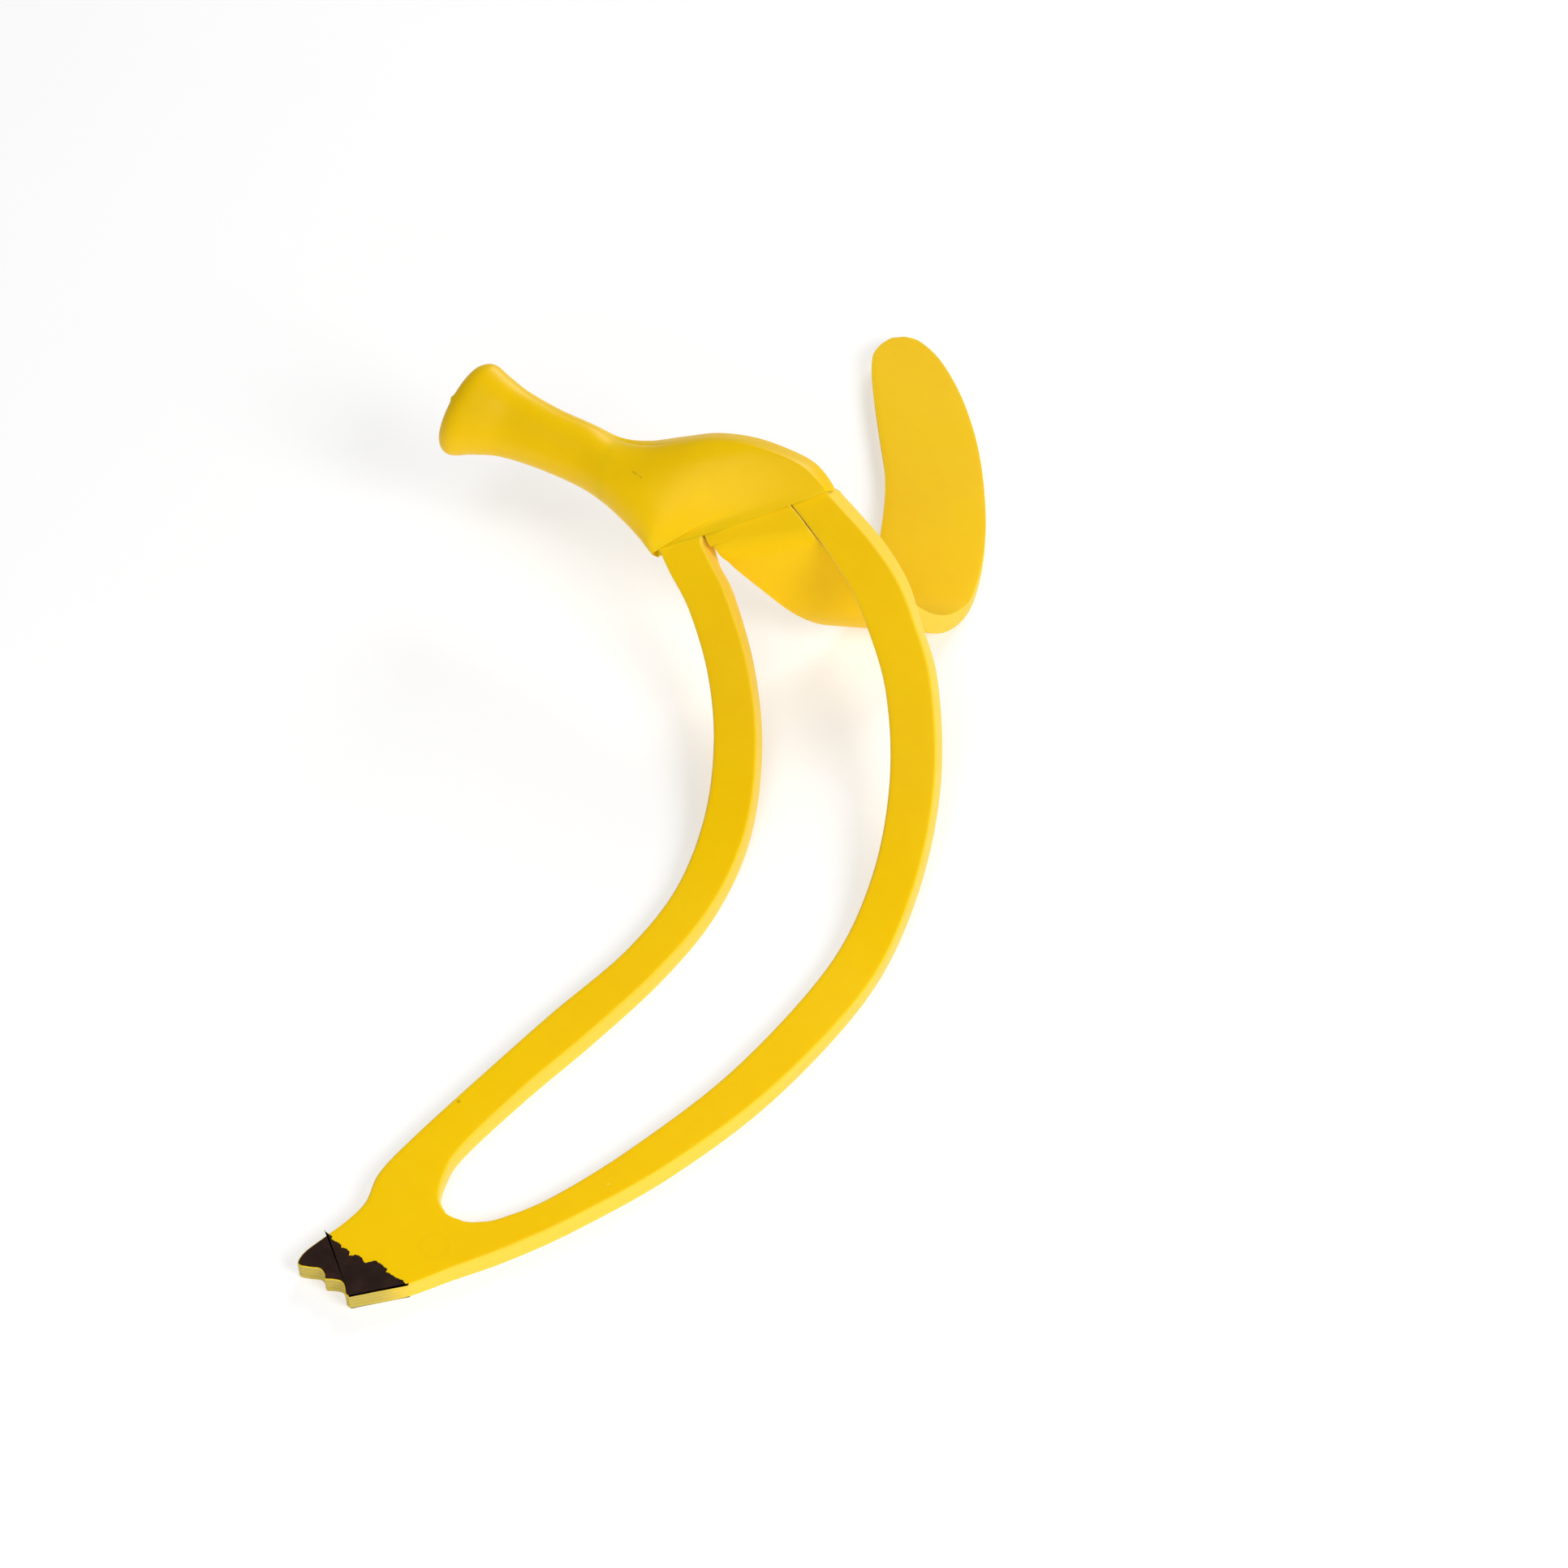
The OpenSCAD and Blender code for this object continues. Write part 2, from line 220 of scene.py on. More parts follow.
# How far the rim leans out of its straight line: place along it, then the lean
RIM_WAVE = ((0, 0.03, 0.08, 0.32, 0.5, 0.8, 1.0), (-1.7, -1.1, -0.3, 0.3, 0.2, 0.2, -0.2))
RIM_FADE = 2.5         # rows of the hood over which that lean fades out
FULL_INSET = 1.8       # crease inset from which the hood counts as fully domed

# Jagged border of the print, across the tip from the left edge to the right edge
PRINT_BORDER = [
    (-8.2, 16.4), (-8.5, 15.3), (-8.6, 14.4), (-9.1, 14.1), (-9.1, 13.1), (-9.2, 12.2),
    (-9.6, 11.8), (-9.4, 11.1), (-9.5, 10.6), (-9.7, 10.1), (-10.2, 9.9), (-10.0, 9.3),
    (-9.6, 9.0), (-9.5, 8.3), (-9.6, 7.7), (-9.9, 7.3), (-10.1, 6.7), (-9.8, 6.4),
    (-9.3, 5.9), (-8.9, 5.5), (-9.0, 4.8), (-9.0, 4.2), (-9.2, 3.6), (-9.3, 2.9),
    (-9.8, 2.8), (-9.8, 2.0), (-9.9, 1.1), (-9.9, 0.2), (-9.8, -0.5), (-10.1, -1.1),
    (-10.2, -1.9),
]


# ---------------------------------------------------------------- curves and sheets
def smooth_rows(rows, steps):
    """Catmull-Rom curve through the rows, with steps rings between two of them."""
    rows = np.array(rows, float)
    last = len(rows) - 1
    out = []
    for i in range(last):
        a, b, c, d = (rows[max(i - 1, 0)], rows[i], rows[i + 1], rows[min(i + 2, last)])
        for u in np.arange(steps) / steps:
            out.append(0.5 * (2 * b + (c - a) * u + (2 * a - 5 * b + 4 * c - d) * u * u
                              + (3 * b - a - 3 * c + d) * u ** 3))
    out.append(rows[last])
    return np.array(out)


def roll(dist, height, radius, turn):
    """Rolls a sheet by turn; a positive radius bends away from its face."""
    arc = abs(radius) * turn
    th = turn * np.sign(radius) * np.clip(dist, 0, arc) / arc
    rest = np.maximum(dist - arc, 0)
    bent_along = (radius + height) * np.sin(th) + rest * np.cos(th)
    bent_up = (radius + height) * np.cos(th) - radius - rest * np.sin(th)
    return np.where(dist <= 0, dist, bent_along), np.where(dist <= 0, height, bent_up)


def front_point(x, y, n):
    """Front sheet: along x and y, n above the face."""
    along, up = roll(x - TOUCH_X, n, -RISE_R, RISE_TURN)
    return np.stack([TOUCH_X + along, y, PLATE_T + up], -1)


SHEET_X = np.array([math.cos(RISE_TURN), 0, math.sin(RISE_TURN)])
SHEET_N = np.array([-math.sin(RISE_TURN), 0, math.cos(RISE_TURN)])
FOLD_DIR = np.array([math.cos(FOLD_ANGLE), math.sin(FOLD_ANGLE)])
FOLD_DOWN = np.array([math.sin(FOLD_ANGLE), -math.cos(FOLD_ANGLE)])
AXIS = FOLD_DIR[0] * SHEET_X + np.array([0, FOLD_DIR[1], 0])
ROOT_DOWN = FOLD_DOWN[0] * SHEET_X + np.array([0, FOLD_DOWN[1], 0])
BEND_MID = RIM_MID + (HINGE_GAP + BEND_LEAD) * DOWN_DIR
BEND_POINT = front_point(np.array(BEND_MID[0]), np.array(BEND_MID[1]), np.array(0.0))
SHOULDER_TURN = math.atan2(SHEET_N[2], -ROOT_DOWN[2])
SHOULDER_ARC = SHOULDER_R * SHOULDER_TURN
WALL_N = SHEET_N * math.cos(SHOULDER_TURN) + ROOT_DOWN * math.sin(SHOULDER_TURN)


def wall_point(a, b, n):
    """Rear sheet before the foot's bend: a along the bend line, b down the peel."""
    down, up = roll(b, n, SHOULDER_R, SHOULDER_TURN)
    return (BEND_POINT + a[..., None] * AXIS + down[..., None] * ROOT_DOWN
            + up[..., None] * SHEET_N)


def rear_point(a, b, n):
    """Rear sheet, with the foot rolled under where the wall comes near the table."""
    wall = wall_point(a, b, n)
    flat = wall_point(a, np.maximum(b, SHOULDER_ARC), np.zeros_like(n))
    past = FOOT_R - flat[..., 2]
    along, up = roll(past, n, FOOT_R, math.pi / 2)
    foot = np.stack([flat[..., 0], flat[..., 1], FOOT_R - along], -1)
    foot = foot + up[..., None] * WALL_N
    on_wall = (b <= SHOULDER_ARC) | (past <= 0)
    return np.where(on_wall[..., None], wall, foot)


def bend_coords(along, past):
    """Rear sheet coordinates of a point given along the rim and past it."""
    rel = RIM_MID + along * RIM_DIR + past * DOWN_DIR - BEND_MID
    return float(rel @ FOLD_DIR), float(rel @ FOLD_DOWN)


# The rear peel's rows are (along the bend line, down the peel)
def rear_root_row(along_out, along_in, past, **tuck):
    """A row of the rear peel beside the rim, placed along the rim and past it."""
    return row(*bend_coords(along_out, past), *bend_coords(along_in, past), ROOT_R,
               leans=ROOT_LEANS, **tuck)


ROOT_LEANS = (-0.6, -0.6)
REAR_ROWS = [
    rear_root_row(9.4, -7.2, -2.0, **TUCK),
    rear_root_row(9.95, -7.3, -0.5),
    rear_root_row(10.4, -7.3, 0.5),
    rear_root_row(11.3, -6.9, HINGE_GAP),
    row(12.5, 0.4, -6.2, 1, ROOT_R, leans=ROOT_LEANS),
    row(13.6, 2.4, -5.4, 3, ROOT_R, leans=ROOT_LEANS),
    row(14.6, 4.8, -4.3, 5, 0.4, leans=(-0.6, 0)),
    row(15.9, 7.0, -3.6, 7.2, leans=(-0.6, 0)),
    row(18.9, 11.2, -1.4, 12, leans=(-0.3, 0)),
    row(22.8, 20.6, 2.6, 20.6),
    row(25.6, 31, 6.5, 30.6),
    row(27.5, 41.2, 8.2, 40.2),
    row(28.1, 51.2, 7.7, 50.2, leans=(-0.2, 0)),
    row(25.6, 62.8, 5.1, 60.7, leans=(-0.3, 0)),
    row(20.9, 74.7, 0.55, 72.8, leans=(-0.3, 0)),
    row(13.8, 88.2, -6.35, 85.2, leans=(-0.3, 0)),
    row(5.7, 99.7, -12.1, 95.6, leans=(-0.3, 0)),
    row(-2.3, 108, -15.5, 103.2, leans=(-0.3, 0)),
    row(-8.4, 111.8, -15.8, 107.2, leans=(-0.35, 0)),
    row(-11.9, 112.2, -14.9, 110.3, 0.5, 0, 3.4, 0.1, (-0.4, -0.3)),
    row(-12.9, 112, -14.2, 111.3, 0.4, 0, 2.6, 0.5, (-0.4, -0.4)),
]


# ---------------------------------------------------------------- meshes
def strip_profile():
    """Points round a peel's section, one row of numbers each:
    across = a*width + b*radius + c*LOW_R + d*draft (and lean) - e*groove,
    height = f*thickness + g*radius + h*LOW_R, and last the share of the walls' painted light."""
    u = np.linspace(0, 1, FACE_CUTS + 1)
    t = np.linspace(0, math.pi / 2, CORNER_CUTS + 1)[1:-1]
    # places down the wall, each with one where a parting line runs
    walls = [(0.0, 0), (0.22, 0), (0.25, 1), (0.28, 0), (0.5, 0),
             (0.62, 0), (0.65, 1), (0.68, 0), (1.0, 0)]
    rows = [(v, 1 - 2 * v, 0, 0, 0, 0, 0, 0, 0) for v in u]
    rows += [(1, math.sin(v) - 1, 0, 0, 0, 0, math.cos(v) - 1, 0, math.sin(v)) for v in t]
    rows += [(1, 0, 0, w, g, -w, w - 1, w, 1) for w, g in walls]
    rows += [(1, 0, math.cos(v) - 1, 1, 0, -1, 0, 1 - math.sin(v), math.cos(v)) for v in t]
    rows += [(1 - v, 0, 2 * v - 1, 1 - 2 * v, 0, -1, 0, 0, 0) for v in u]
    rows += [(0, 0, 1 - math.sin(v), -1, 0, -1, 0, 1 - math.cos(v), math.sin(v)) for v in t]
    rows += [(0, 0, 0, w - 1, 0, w - 1, -w, 1 - w, 1) for w, _ in walls]
    rows += [(0, 1 - math.cos(v), 0, 0, 0, 0, math.sin(v) - 1, 0, math.cos(v)) for v in t]
    return np.array(rows).T


def strip_grid(rows, steps, place):
    """Rings of a peel in space, one row of points each, and their share of the walls' painted
    light.
    """
    rows = smooth_rows(rows, steps)
    a, b, c, d, e, f, g, h, wall = strip_profile()
    outer, inner = rows[:, 0:2], rows[:, 2:4]
    radius, groove, thick, sink = (rows[:, k:k + 1] for k in (4, 5, 6, 7))
    across = outer - inner
    width = np.linalg.norm(across, axis=1, keepdims=True)
    side = across / width
    radius = np.minimum(np.minimum(radius, width / 3), thick / 3)
    groove = np.clip(groove, 0, 1)
    lean_outer, lean_inner = rows[:, 8:9], rows[:, 9:10]
    draft = DRAFT * (1 - groove) + np.where(d > 0, lean_outer, lean_inner)
    dist = a * width + b * radius + c * LOW_R + d * draft - e * groove * GROOVE
    height = f * thick + g * radius + h * LOW_R - sink
    x = inner[:, 0:1] + dist * side[:, 0:1]
    y = inner[:, 1:2] + dist * side[:, 1:2]
    return place(x, y, height), np.broadcast_to(wall, x.shape)


def crown_grid(rows, steps):
    """Rings of the stem and hood as x and y in the sheet and height over its face: over the
    crown, down the outer band, then back under the belly."""
    rows = smooth_rows(rows, steps)
    f = (1 - np.cos(np.linspace(0, math.pi, CROWN_POINTS + 1))) / 2
    g = np.linspace(0, 1, BAND_POINTS + 1)[1:]
    h = (1 + np.cos(np.linspace(0, math.pi, BELLY_POINTS + 1))) / 2
    sag = np.sqrt(np.maximum(0, 4 * h * (1 - h)))
    lower, upper = rows[:, 0:2], rows[:, 2:4]
    crown, top_in, top_out, low, belly, inset = (rows[:, k:k + 1] for k in range(4, 10))
    across = upper - lower
    width = np.linalg.norm(across, axis=1, keepdims=True)
    side = across / width
    reach = width - inset
    edge = (top_out + 2 * low) / 3
    base = top_in + (top_out - top_in) * f
    domed = np.clip(inset / FULL_INSET, 0, 1)
    # an ellipse on the stem; the dome falls away more sharply towards its outer edge
    power = 0.5 + domed * (0.04 + 0.3 * f ** 2 * (3 - 2 * f))
    arch = np.maximum(0, 4 * f * (1 - f)) ** power
    bank = top_out + (edge - top_out) * g ** 1.25
    under = low + (belly - low) * sag + (edge - low) * np.maximum(0, h * 6 - 5) ** 2
    dist = np.concatenate([f * reach, reach + inset * g, h * width], 1)
    height = np.concatenate([base + crown * arch, bank, under], 1)
    x = lower[:, 0:1] + dist * side[:, 0:1]
    y = lower[:, 1:2] + dist * side[:, 1:2]
    slide = np.interp(dist / width, *RIM_WAVE) * near_rim(len(rows))
    return x + slide * DOWN_DIR[0], y + slide * DOWN_DIR[1], height


def near_rim(rings):
    """One at the last ring of the hood, fading to nought over the rings before it."""
    back = np.arange(rings)[::-1, None] / (RIM_FADE * CROWN_STEPS)
    return np.clip(1 - back, 0, 1) ** 2


def raise_nub(grid):
    """Pushes out the few points of the stem's end that form the nub."""
    away = np.linalg.norm(grid - np.array(NUB_AT), axis=2, keepdims=True)
    return grid + NUB_HEIGHT * np.exp(-(away / NUB_WIDTH) ** 2) * np.array(NUB_DIR)


def grid_normals(grid):
    """Smooth normals of a closed loft, ring by ring."""
    along = np.gradient(grid, axis=0)
    around = np.roll(grid, -1, axis=1) - np.roll(grid, 1, axis=1)
    n = np.cross(around, along)
    length = np.linalg.norm(n, axis=2, keepdims=True)
    return n / np.maximum(length, 1e-12)


def add_mesh(name, verts_mm, faces):
    """A smooth object from points in millimetres."""
    mesh = bpy.data.meshes.new(name)
    mesh.from_pydata((np.asarray(verts_mm) * MM).tolist(), [], faces)
    mesh.polygons.foreach_set("use_smooth", [True] * len(mesh.polygons))
    mesh.update()
    obj = bpy.data.objects.new(name, mesh)
    bpy.context.scene.collection.objects.link(obj)
    return obj


def loft(name, grid, wall=None):
    """Closed skin through a grid of rings; the first and last ring are capped."""
    rings, n = grid.shape[:2]
    faces = []
    for i in range(rings - 1):
        for j in range(n):
            k = (j + 1) % n
            faces.append((i * n + j, (i + 1) * n + j, (i + 1) * n + k, i * n + k))
    faces.append(tuple(range(n)))
    faces.append(tuple(range(rings * n - 1, (rings - 1) * n - 1, -1)))
    obj = add_mesh(name, grid.reshape(-1, 3), faces)
    if wall is not None:
        # how much painted light each point of a wall gets, read by the silicone
        share = obj.data.attributes.new("wall_light_share", "FLOAT", "POINT")
        share.data.foreach_set("value", wall.reshape(-1).astype(np.float32))
    return obj


def turn_outwards(obj):
    """Makes the faces of a closed mesh point out."""
    bm = bmesh.new()
    bm.from_mesh(obj.data)
    if bm.calc_volume(signed=True) < 0:
        bmesh.ops.reverse_faces(bm, faces=bm.faces)
    bm.to_mesh(obj.data)
    bm.free()


# ---------------------------------------------------------------- node helpers
class Tree:
    """Short calls for building a material's nodes."""

    def __init__(self, name):
        self.mat = bpy.data.materials.new(name)
        self.mat.use_nodes = True
        self.nodes = self.mat.node_tree.nodes
        self.links = self.mat.node_tree.links
        self.bsdf = self.nodes["Principled BSDF"]
        coords = self.nodes.new("ShaderNodeTexCoord")
        self.place = coords.outputs["Object"]

    def put(self, socket, value):
        """Links a socket to another, or sets its value."""
        if isinstance(value, bpy.types.NodeSocket):
            self.links.new(value, socket)
        else:
            socket.default_value = value

    def noise(self, scale, detail=3.0, rough=0.5, vector=None, warp=0.0):
        node = self.nodes.new("ShaderNodeTexNoise")
        node.inputs["Scale"].default_value = scale
        node.inputs["Detail"].default_value = detail
        node.inputs["Roughness"].default_value = rough
        node.inputs["Distortion"].default_value = warp
        self.links.new(vector or self.place, node.inputs["Vector"])
        return node.outputs["Fac"]

    def math(self, op, a, b=0.0, clamp=False):
        node = self.nodes.new("ShaderNodeMath")
        node.operation = op
        node.use_clamp = clamp
        self.put(node.inputs[0], a)
        self.put(node.inputs[1], b)
        return node.outputs[0]

    def ramp(self, fac, low, high, to_low=0.0, to_high=1.0):
        """Smooth step of fac from low..high to to_low..to_high."""
        node = self.nodes.new("ShaderNodeMapRange")
        node.interpolation_type = "SMOOTHSTEP"
        self.put(node.inputs["Value"], fac)
        for key, value in (("From Min", low), ("From Max", high),
                           ("To Min", to_low), ("To Max", to_high)):
            node.inputs[key].default_value = value
        return node.outputs["Result"]

    def mix(self, fac, a, b, mode="MIX"):
        node = self.nodes.new("ShaderNodeMix")
        node.data_type = "RGBA"
        node.blend_type = mode
        self.put(node.inputs["Factor"], fac)
        self.put(node.inputs[6], a)
        self.put(node.inputs[7], b)
        return node.outputs[2]

    def attribute(self, name):
        node = self.nodes.new("ShaderNodeAttribute")
        node.attribute_name = name
        return node.outputs["Fac"]

    def axes(self):
        node = self.nodes.new("ShaderNodeSeparateXYZ")
        self.links.new(self.place, node.inputs[0])
        return node.outputs

    def near(self, centre_mm, radius_mm, soft_mm):
        """One inside a ball round centre, fading to nought over soft."""
        node = self.nodes.new("ShaderNodeVectorMath")
        node.operation = "DISTANCE"
        self.links.new(self.place, node.inputs[0])
        node.inputs[1].default_value = [c * MM for c in centre_mm]
        return self.ramp(node.outputs["Value"], (radius_mm - soft_mm) * MM,
                         (radius_mm + soft_mm) * MM, 1.0, 0.0)

    def bump(self, height, strength, distance_mm, under=None):
        node = self.nodes.new("ShaderNodeBump")
        node.inputs["Strength"].default_value = strength
        node.inputs["Distance"].default_value = distance_mm * MM
        self.links.new(height, node.inputs["Height"])
        if under is not None:
            self.links.new(under, node.inputs["Normal"])
        return node.outputs["Normal"]


# ---------------------------------------------------------------- materials
YELLOW = (0.905, 0.575, 0.0005, 1)
YELLOW_DEEP = (0.87, 0.52, 0.0003, 1)
YELLOW_PALE = (0.92, 0.62, 0.001, 1)
# painted light: a paler yellow for the walls, as if the key light caught them
WALL_PAINTED_LIGHT = (0.95, 0.68, 0.085, 1)
YELLOW_OLIVE = (0.55, 0.43, 0.085, 1)
YELLOW_LINE = (0.36, 0.27, 0.05, 1)
DUST = (0.90, 0.74, 0.30, 1)
SCUFF = (0.42, 0.24, 0.01, 1)
INK = (0.017, 0.0075, 0.005, 1)
INK_PALE = (0.028, 0.0125, 0.008, 1)
INK_HOLE = (0.16, 0.085, 0.012, 1)
ROUGH_SPREAD = 0.08    # from the silicone's smoothest patches to its roughest


def silicone(name, rough=0.36, gloss=0.15, sheen=0.005):
    """Moulded silicone: soft satin skin, slight clouding, fine grain, a little dust and walls
    made paler by painted light.
    """
    m = Tree(name)
    cloud = m.ramp(m.noise(28, 3, 0.55), 0.35, 0.68)
    fine = m.ramp(m.noise(240, 4, 0.6), 0.3, 0.7)
    colour = m.mix(m.math("MULTIPLY", cloud, 0.45), YELLOW, YELLOW_DEEP)
    colour = m.mix(m.math("MULTIPLY", fine, 0.16), colour, YELLOW_PALE)
    # painted light: the walls are mixed towards a paler yellow, as if lit
    colour = m.mix(m.math("MULTIPLY", m.attribute("wall_light_share"), 0.7), colour, WALL_PAINTED_LIGHT)
    specks = m.ramp(m.noise(1500, 0, 0), 0.85, 0.875)
    clumps = m.ramp(m.noise(70, 2, 0.5), 0.56, 0.66)
    dust = m.math("MULTIPLY", specks, clumps)
    colour = m.mix(m.math("MULTIPLY", dust, 0.55), colour, DUST)
    grain = m.noise(2600, 2, 0.6)
    waves = m.noise(95, 2, 0.5)
    normal = m.bump(waves, 0.18, 0.25)
    normal = m.bump(grain, 0.22, 0.03, normal)
    patches = m.ramp(m.noise(70, 4, 0.6), 0.3, 0.72, rough, rough + ROUGH_SPREAD)
    b = m.bsdf
    m.put(b.inputs["Base Color"], colour)
    m.put(b.inputs["Roughness"], m.math("ADD", patches, m.math("MULTIPLY", dust, 0.2)))
    m.put(b.inputs["Normal"], normal)
    b.inputs["IOR"].default_value = 1.42
    b.inputs["Specular IOR Level"].default_value = gloss
    b.inputs["Subsurface Weight"].default_value = 0.22
    b.inputs["Subsurface Radius"].default_value = (1.0, 0.6, 0.12)
    b.inputs["Subsurface Scale"].default_value = 0.0022
    b.inputs["Sheen Weight"].default_value = sheen
    b.inputs["Sheen Roughness"].default_value = 0.45
    b.inputs["Sheen Tint"].default_value = (1.0, 0.92, 0.70, 1)
    return m, colour


def peel_silicone():
    """The front peel's skin: cut olive wall with parting lines at the torn tip."""
    m, colour = silicone("yellow_silicone_front_peel")
    x, y, z = m.axes()
    face = m.nodes.new("ShaderNodeNewGeometry")
    split = m.nodes.new("ShaderNodeSeparateXYZ")
    m.links.new(face.outputs["Normal"], split.inputs[0])
    upright = m.math("ABSOLUTE", split.outputs["Z"])
    wall = m.ramp(upright, 0.35, 0.8, 1.0, 0.0)
    tip = m.ramp(x, CUT_ENDS[0] * MM, CUT_ENDS[1] * MM, 1.0, 0.0)
    cut = m.math("MULTIPLY", wall, tip)
    colour = m.mix(m.math("MULTIPLY", cut, 0.85), colour, YELLOW_OLIVE)
    band = m.math("SINE", m.math("MULTIPLY", z, 2 * math.pi / (CUT_PITCH * MM)))
    lines = m.math("MULTIPLY", m.ramp(band, 0.55, 1.0), cut)
    colour = m.mix(m.math("MULTIPLY", lines, 0.5), colour, YELLOW_LINE)
    mark = m.math("SUBTRACT", m.near(MARK_AT, MARK_R, MARK_LINE),
                  m.near(MARK_AT, MARK_R - MARK_LINE, MARK_LINE), clamp=True)
    colour = m.mix(m.math("MULTIPLY", mark, 0.06), colour, SCUFF)
    speck = m.near(SPECK_AT, SPECK_R, 0.2)
    colour = m.mix(m.math("MULTIPLY", speck, 0.55), colour, SCUFF)
    m.put(m.bsdf.inputs["Base Color"], colour)
    return m.mat


def hood_silicone():
    """The skin of the hood and stem, glossier, with one small dark scratch by the neck."""
    m, colour = silicone("yellow_silicone_crown", rough=0.318, gloss=0.24)
    start, end = (np.array(p) for p in SCRATCH)
    for share, radius in SCRATCH_SPOTS:
        spot = m.near(start + share * (end - start), radius, 0.1)
        colour = m.mix(m.math("MULTIPLY", spot, 0.6), colour, SCUFF)
    m.put(m.bsdf.inputs["Base Color"], colour)
    return m.mat


def rear_silicone():
    """The rear peel's skin, which is more matte than the others."""
    m, _ = silicone("yellow_silicone_rear_peel", rough=0.50, sheen=0.065)
    return m.mat


def print_ink():
    """Brown printed ink: flat, with slight mottling and a few pale pinholes."""
    m = Tree("brown_tip_print")
    mottled = m.ramp(m.noise(330, 4, 0.6), 0.35, 0.7)
    colour = m.mix(mottled, INK, INK_PALE)
    holes = m.ramp(m.noise(900, 1, 0.5), 0.76, 0.80)
    colour = m.mix(m.math("MULTIPLY", holes, 0.35), colour, INK_HOLE)
    m.put(m.bsdf.inputs["Base Color"], colour)
    m.put(m.bsdf.inputs["Roughness"], m.ramp(m.noise(500, 3, 0.5), 0.3, 0.7, 0.46, 0.60))
    m.put(m.bsdf.inputs["Normal"], m.bump(m.noise(1500, 3, 0.6), 0.3, 0.02))
    m.bsdf.inputs["Specular IOR Level"].default_value = 0.12
    return m.mat


def floor_paper():
    """Plain white studio floor, which also glows a little to stay white in the shade."""
    m = Tree("white_studio_floor")
    tone = m.ramp(m.noise(9, 2, 0.5), 0.3, 0.7, 0.60, 0.61)
    join = m.nodes.new("ShaderNodeCombineColor")
    for k in range(3):
        m.links.new(tone, join.inputs[k])
    m.put(m.bsdf.inputs["Base Color"], join.outputs[0])
    m.bsdf.inputs["Roughness"].default_value = 0.9
    m.bsdf.inputs["Specular IOR Level"].default_value = 0.1
    m.bsdf.inputs["Emission Color"].default_value = (1, 1, 1, 1)
    m.bsdf.inputs["Emission Strength"].default_value = 0.45
    return m.mat


# ---------------------------------------------------------------- the object's pieces
def finish_piece(obj, material, nodes):
    """Gives a piece its material and hides the CAD nodes it stands for."""
    obj.data.materials.append(material)
    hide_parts(*nodes)
    return obj


def make_front_peel(material):
    """The loop: two strips that join in the torn tip."""
    obj = loft("front_peel_skin", *strip_grid(FRONT_ROWS, ROW_STEPS, front_point))
    turn_outwards(obj)
    finish_piece(obj, material, ["front_peel"])
    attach(obj, "crown")


def make_rear_peel(material):
    """The solid crescent, whose skin bends across the joint at its root. The skin is not
    attached to any body."""
    obj = loft("rear_peel_skin", *strip_grid(REAR_ROWS, ROW_STEPS, rear_point))
    turn_outwards(obj)
    finish_piece(obj, material, ["rear_peel"])
    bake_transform(obj)


def make_crown(material):
    """Stem and hood: one smooth skin, cut in two at the neck."""
    x, y, height = crown_grid(STEM_ROWS + HOOD_ROWS, CROWN_STEPS)
    grid = raise_nub(front_point(x, y, height))
    normals = grid_normals(grid)
    cut = NECK * CROWN_STEPS
    stem = loft("stem_skin", grid[:cut + 1])
    hood = loft("hood_skin", grid[cut:])
    for obj, part in ((stem, normals[:cut + 1]), (hood, normals[cut:])):
        turn_outwards(obj)
        flat = part.reshape(-1, 3)
        own = np.zeros(len(obj.data.vertices) * 3)
        obj.data.vertices.foreach_get("normal", own)
        sign = 1 if (own.reshape(-1, 3) * flat).sum() > 0 else -1
        obj.data.normals_split_custom_set_from_vertices((flat * sign).tolist())
    finish_piece(stem, material, ["stem"])
    finish_piece(hood, material, ["hood"])
    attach(stem, "crown")
    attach(hood, "crown")


def print_outline():
    """The print's outline: the jagged border, then the torn end just inside its edge. Known
    fault: border points past the edge stay in, so a small spike shows at each end."""
    rows = smooth_rows(FRONT_ROWS, ROW_STEPS)
    rows = rows[TORN_FIRST * ROW_STEPS:TORN_LAST * ROW_STEPS + 1]
    outer, inner = rows[:, 0:2], rows[:, 2:4]
    tangent = np.gradient(outer, axis=0)
    normal = np.stack([tangent[:, 1], -tangent[:, 0]], 1)
    normal /= np.linalg.norm(normal, axis=1, keepdims=True)
    normal *= np.sign((normal * (inner - outer)).sum(1, keepdims=True))
    edge = outer + PRINT_RIM * normal
    border = smooth_rows(PRINT_BORDER, BORDER_STEPS)
    k = np.arange(len(border))
    border[:, 0] += PRINT_JAG * np.sin(k * JAG_BEATS[0]) * np.sin(k * JAG_BEATS[1])
    first = int(np.argmin(np.linalg.norm(edge - border[0], axis=1)))
    last = int(np.argmin(np.linalg.norm(edge - border[-1], axis=1)))
    border[0], border[-1] = edge[first], edge[last]
    return border[1:-1], edge[first:last + 1]


def make_print(name, material, node, level, up):
    """A thin layer of ink on one face of the tip."""
    border, edge = print_outline()
    ring = np.concatenate([edge, border[::-1]])
    n = len(ring)
    z_top, z_low = level + up * PRINT_H, level - up * PRINT_H
    verts = [(px, py, z_top) for px, py in ring] + [(px, py, z_low) for px, py in ring]
    faces = [tuple(range(n)), tuple(range(2 * n - 1, n - 1, -1))]
    faces += [(j, n + j, n + (j + 1) % n, (j + 1) % n) for j in range(n)]
    obj = add_mesh(name, verts, faces)
    obj.data.polygons.foreach_set("use_smooth", [False] * len(obj.data.polygons))
    turn_outwards(obj)
    finish_piece(obj, material, [node])
    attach(obj, "crown")


# ---------------------------------------------------------------- floor, light, camera
FLOOR_HALF = 3.0
FLOOR_DROP = 0.00005   # keeps the floor just clear of the faces that rest on it
LIGHT_AIM = (0.12, 0.02, 0.01)


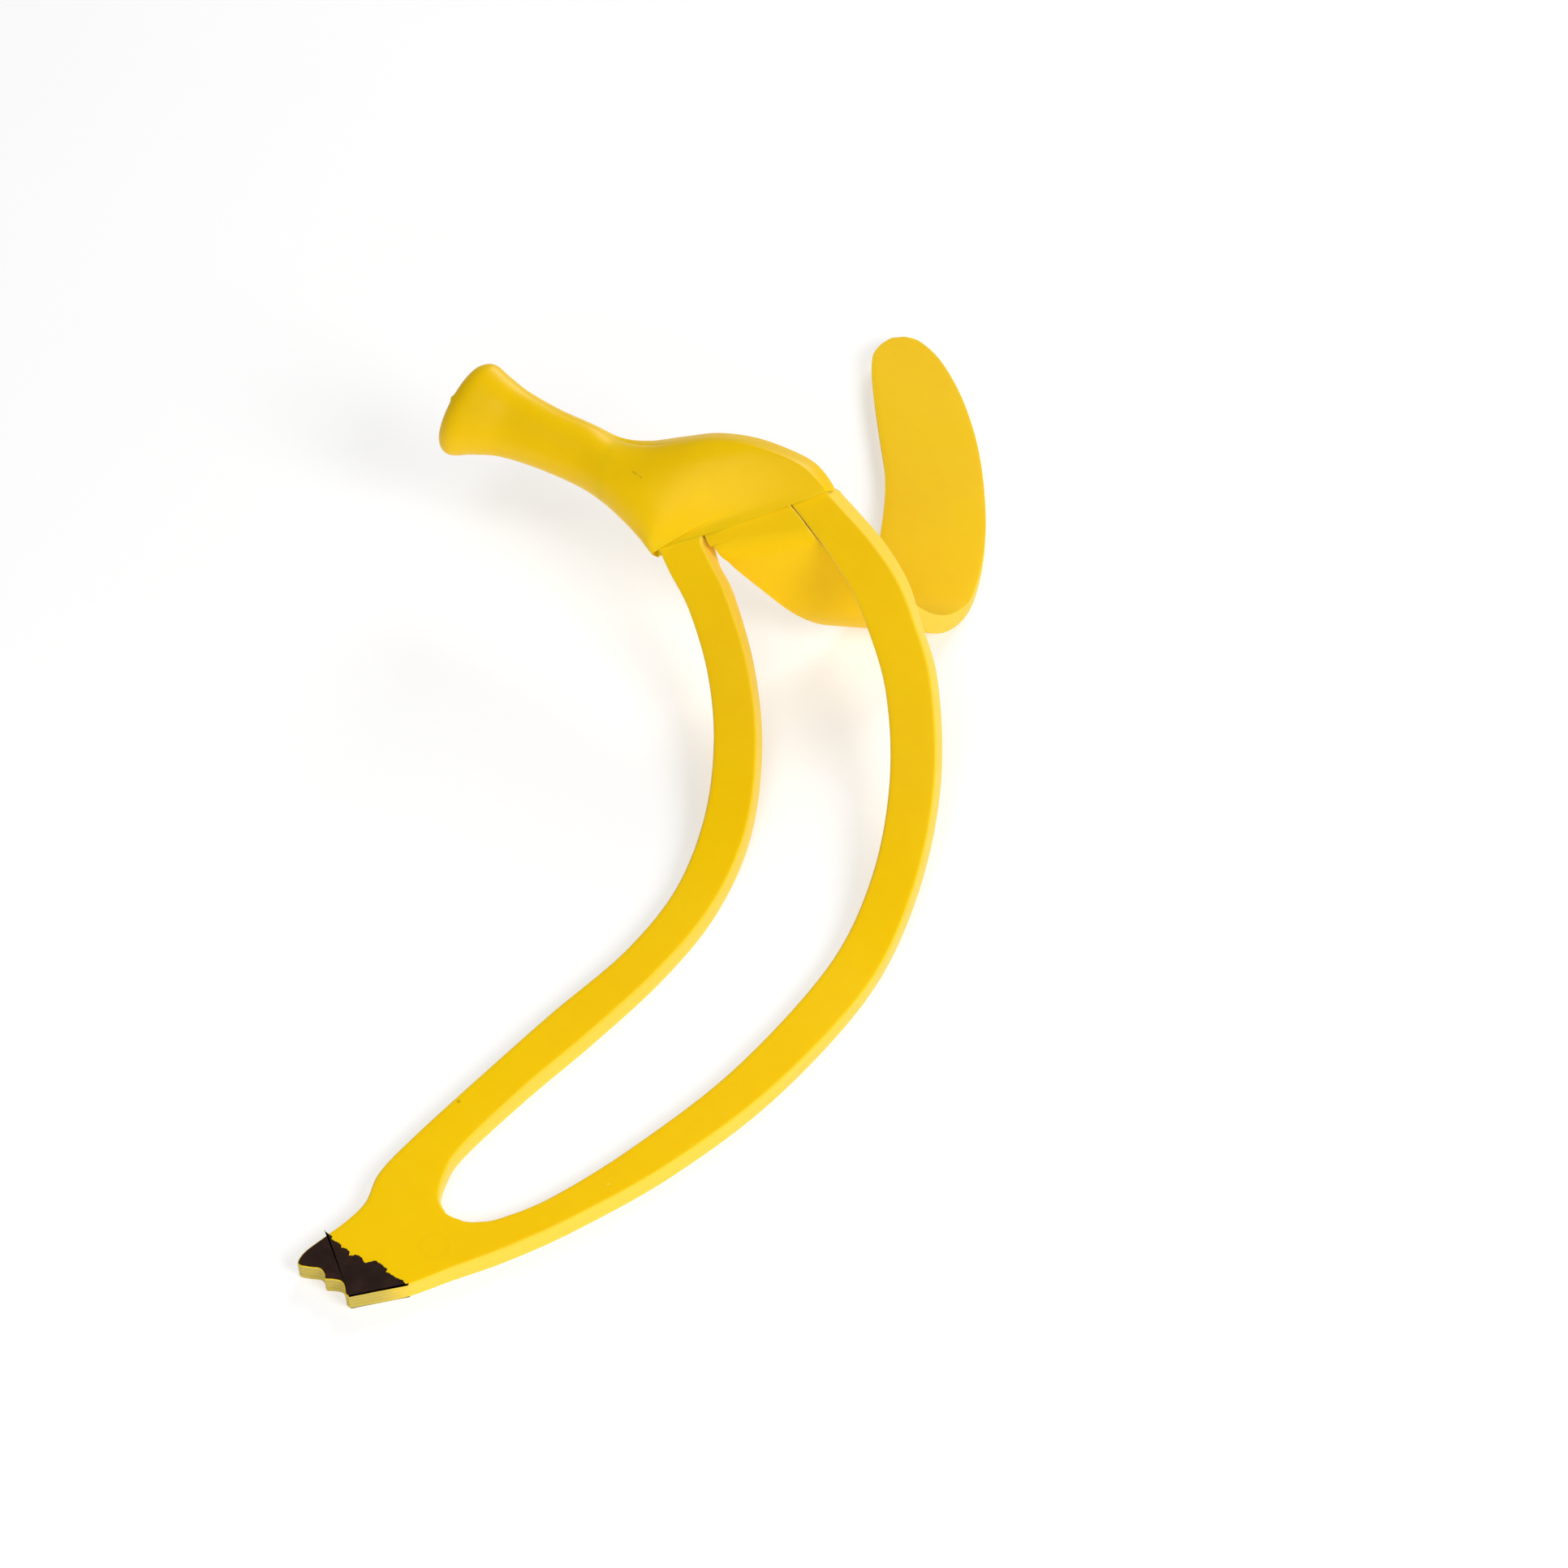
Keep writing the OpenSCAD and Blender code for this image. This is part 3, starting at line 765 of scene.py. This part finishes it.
def make_floor(material):
    half = FLOOR_HALF
    mesh = bpy.data.meshes.new("studio_floor")
    mesh.from_pydata([(-half, -half, 0), (half, -half, 0), (half, half, 0), (-half, half, 0)],
                     [], [(0, 1, 2, 3)])
    obj = bpy.data.objects.new("studio_floor", mesh)
    obj.location.z = -FLOOR_DROP
    bpy.context.scene.collection.objects.link(obj)
    obj.data.materials.append(material)


def area_light(name, heading, elevation, distance, size, power):
    """A soft light; heading in degrees counted from +X towards +Y."""
    data = bpy.data.lights.new(name, "AREA")
    data.shape = "DISK"
    data.size = size
    data.energy = power
    obj = bpy.data.objects.new(name, data)
    a, e = math.radians(heading), math.radians(elevation)
    away = Vector((math.cos(a) * math.cos(e), math.sin(a) * math.cos(e), math.sin(e)))
    obj.location = Vector(LIGHT_AIM) + away * distance
    obj.rotation_euler = (-away).to_track_quat("-Z", "Y").to_euler()
    bpy.context.scene.collection.objects.link(obj)


def make_lights():
    """A key light from the right, and softer ones from the front, above and behind."""
    area_light("key_softbox", -100, 38, 1.1, 0.6, 7.0)
    area_light("front_softbox", 195, 38, 1.2, 1.0, 4.9)
    area_light("top_softbox", 170, 70, 1.2, 0.45, 2.0)
    area_light("back_softbox", 8, 30, 1.2, 0.6, 6.8)


def make_world():
    """Even, weak light from all round."""
    world = bpy.data.worlds.new("studio_world")
    world.use_nodes = True
    background = world.node_tree.nodes["Background"]
    background.inputs["Color"].default_value = (1, 1, 1, 1)
    background.inputs["Strength"].default_value = 0.11
    bpy.context.scene.world = world


CAMERA_AIM = (0.116, 0.0, 0.0)
CAMERA_DISTANCE = 0.6439
CAMERA_ELEVATION = 50.0
CAMERA_HEADING = 30.0
CAMERA_LENS = 80.0


def make_camera():
    """The photo's view, fitted to its outlines."""
    data = bpy.data.cameras.new("photo_camera")
    data.lens = CAMERA_LENS
    data.sensor_width = 36.0
    obj = bpy.data.objects.new("photo_camera", data)
    a, e = math.radians(CAMERA_HEADING), math.radians(CAMERA_ELEVATION)
    look = Vector((math.cos(a) * math.cos(e), math.sin(a) * math.cos(e), -math.sin(e)))
    obj.location = Vector(CAMERA_AIM) - look * CAMERA_DISTANCE
    obj.rotation_euler = look.to_track_quat("-Z", "Y").to_euler()
    bpy.context.scene.collection.objects.link(obj)
    bpy.context.scene.camera = obj


make_camera()
make_world()
make_lights()
make_floor(floor_paper())
crown_skin = hood_silicone()
make_front_peel(peel_silicone())
make_rear_peel(rear_silicone())
make_crown(crown_skin)
ink = print_ink()
make_print("tip_print_top_ink", ink, "tip_print_top", PLATE_T, 1)
make_print("tip_print_underside_ink", ink, "tip_print_underside", PRINT_H, -1)

bpy.context.scene.view_settings.view_transform = "Standard"
